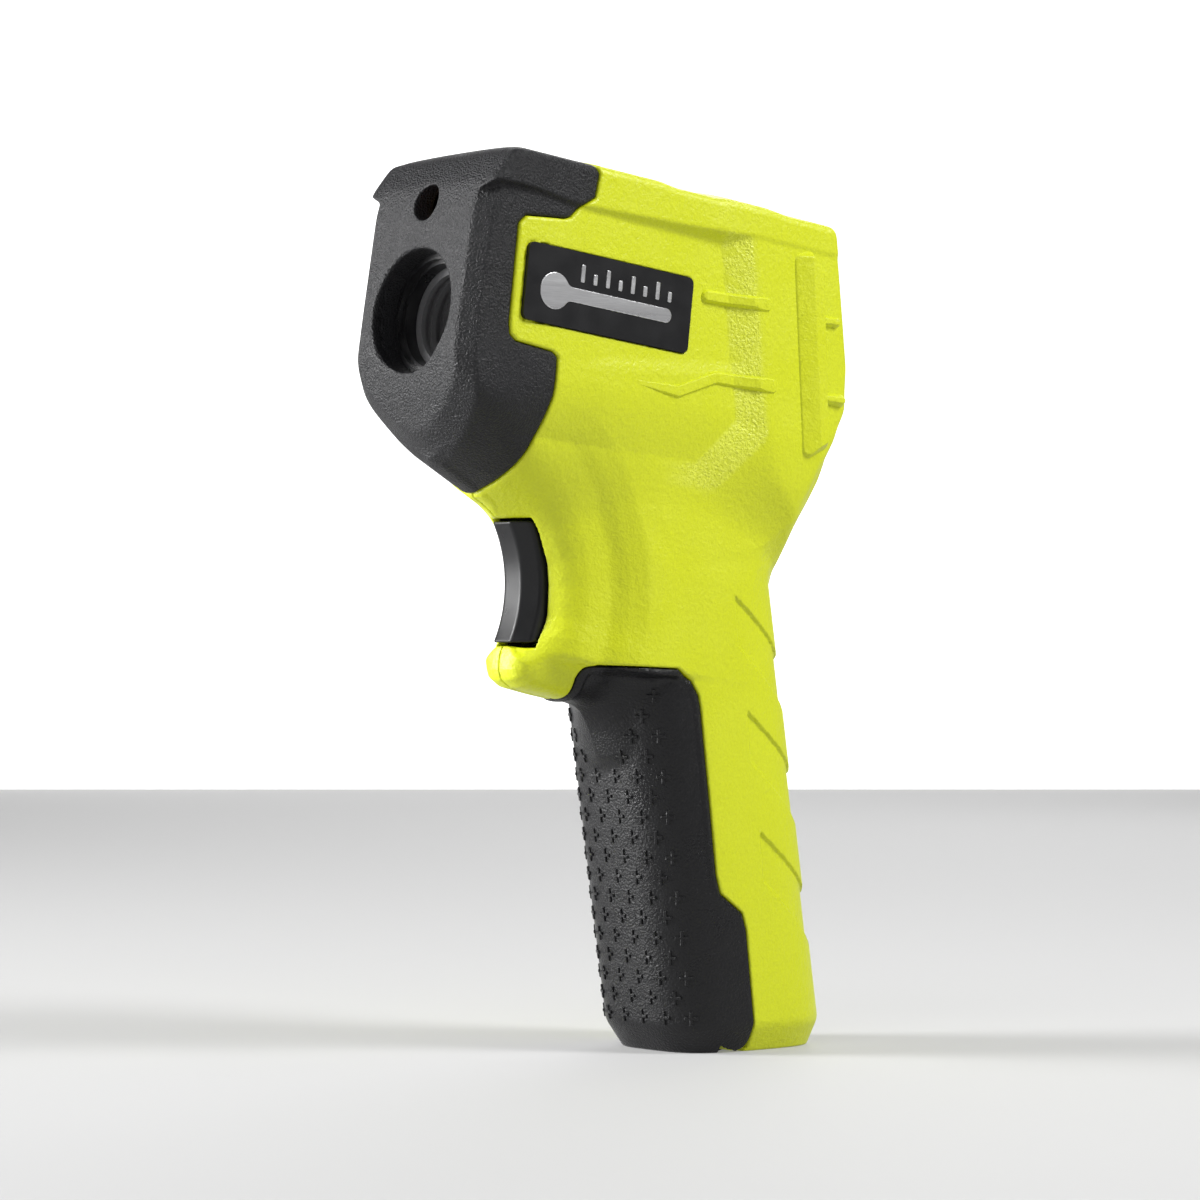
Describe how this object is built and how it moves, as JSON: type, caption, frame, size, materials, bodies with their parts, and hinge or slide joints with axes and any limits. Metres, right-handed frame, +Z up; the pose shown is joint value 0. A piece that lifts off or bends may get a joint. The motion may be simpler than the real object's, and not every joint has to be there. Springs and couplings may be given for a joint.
{
  "type": "infrared thermometer",
  "caption": "Pistol-grip non-contact thermometer with a recessed infrared aperture, aiming laser, trigger, rear display and keys, and a hinged battery door.",
  "frame": {"origin": "on the flat underside of the grip, on the mid-plane, below the grip's axis", "axes": "+Z up through the grip, -Y forward out of the nose, +X the device's left side"},
  "size_m": [0.0444, 0.091, 0.1639],
  "materials": {
    "body_plastic": "fine-textured lime plastic",
    "nose_plastic": "coarse sand texture",
    "grip_plastic": "satin leather grain",
    "trigger_plastic": "smooth satin",
    "badge_plastic": "semi-gloss black",
    "black_plastic": "matt black",
    "bezel_plastic": "satin charcoal",
    "key_rubber": "soft matt rubber",
    "baffle_plastic": "satin grey",
    "ir_window": "milky infrared window",
    "steel": "bright steel",
    "brass": "turned brass",
    "laser_glass": "red-tinted lens",
    "clear_window": "clear scratch-resistant window",
    "lcd_glass": "grey-green display glass",
    "white_plastic": "satin white",
    "zebra_rubber": "pink elastomer",
    "board": "green solder mask",
    "component": "moulded component bodies",
    "ribbon": "flat cable",
    "lead_red": "red insulation",
    "lead_black": "black insulation",
    "lead_white": "white insulation",
    "foam": "closed-cell foam",
    "battery_case": "painted battery can"
  },
  "bodies": {
    "housing": {"shell_left": "body_plastic", "shell_right": "body_plastic", "nose_cap": "nose_plastic", "side_badge_left": "badge_plastic", "side_badge_right": "badge_plastic", "aperture_ring": "black_plastic", "ir_baffle": "baffle_plastic", "ir_lens": "ir_window", "optics_tube": "black_plastic", "thermopile_sensor": "steel", "sensor_board": "board", "sensor_board_screws": "steel", "sensor_ribbon": "ribbon", "laser_module": "brass", "laser_lens": "laser_glass", "laser_leads": "lead_red", "main_board": "board", "processor_chip": "black_plastic", "board_capacitors": "component", "buzzer": "black_plastic", "main_board_screws": "steel", "key_switches": "black_plastic", "rear_bezel": "bezel_plastic", "display_window": "clear_window", "lcd_panel": "lcd_glass", "lcd_backlight": "white_plastic", "lcd_frame": "white_plastic", "zebra_strips": "zebra_rubber", "trigger_pin": "steel", "trigger_spring": "steel", "trigger_switch": "black_plastic", "switch_leads": "lead_white", "door_hinge_pin": "steel", "battery_9v": "battery_case", "battery_terminals": "steel", "battery_snap": "black_plastic", "battery_lead_red": "lead_red", "battery_lead_black": "lead_black", "shell_screws": "steel"},
    "trigger": {"trigger": "trigger_plastic"},
    "laser_key": {"button_laser": "key_rubber"},
    "units_key": {"button_units": "key_rubber"},
    "mode_key": {"button_mode": "key_rubber"},
    "door": {"battery_door": "grip_plastic", "battery_pad": "foam"}
  },
  "joints": [
    {"name": "trigger_swing", "type": "hinge", "parent": "housing", "child": "trigger", "pos_m": [0, -0.044, 0.0945], "axis": [1, 0, 0], "range_deg": [0, 7], "stiffness_Nm_per_rad": 0.08, "springref_deg": -5.73},
    {"name": "laser_key_press", "type": "slide", "parent": "housing", "child": "laser_key", "axis": [0, -0.9917, -0.1288], "range_m": [0, 0.0008], "stiffness_N_per_m": 300, "springref_m": -0.0003},
    {"name": "units_key_press", "type": "slide", "parent": "housing", "child": "units_key", "axis": [0, -0.9917, -0.1288], "range_m": [0, 0.0008], "stiffness_N_per_m": 300, "springref_m": -0.0003},
    {"name": "mode_key_press", "type": "slide", "parent": "housing", "child": "mode_key", "axis": [0, -0.9917, -0.1288], "range_m": [0, 0.0008], "stiffness_N_per_m": 300, "springref_m": -0.0003},
    {"name": "battery_door_hinge", "type": "hinge", "parent": "housing", "child": "door", "pos_m": [0, -0.0059, 0.0029], "axis": [1, 0, 0], "range_deg": [0, 75]}
  ]
}
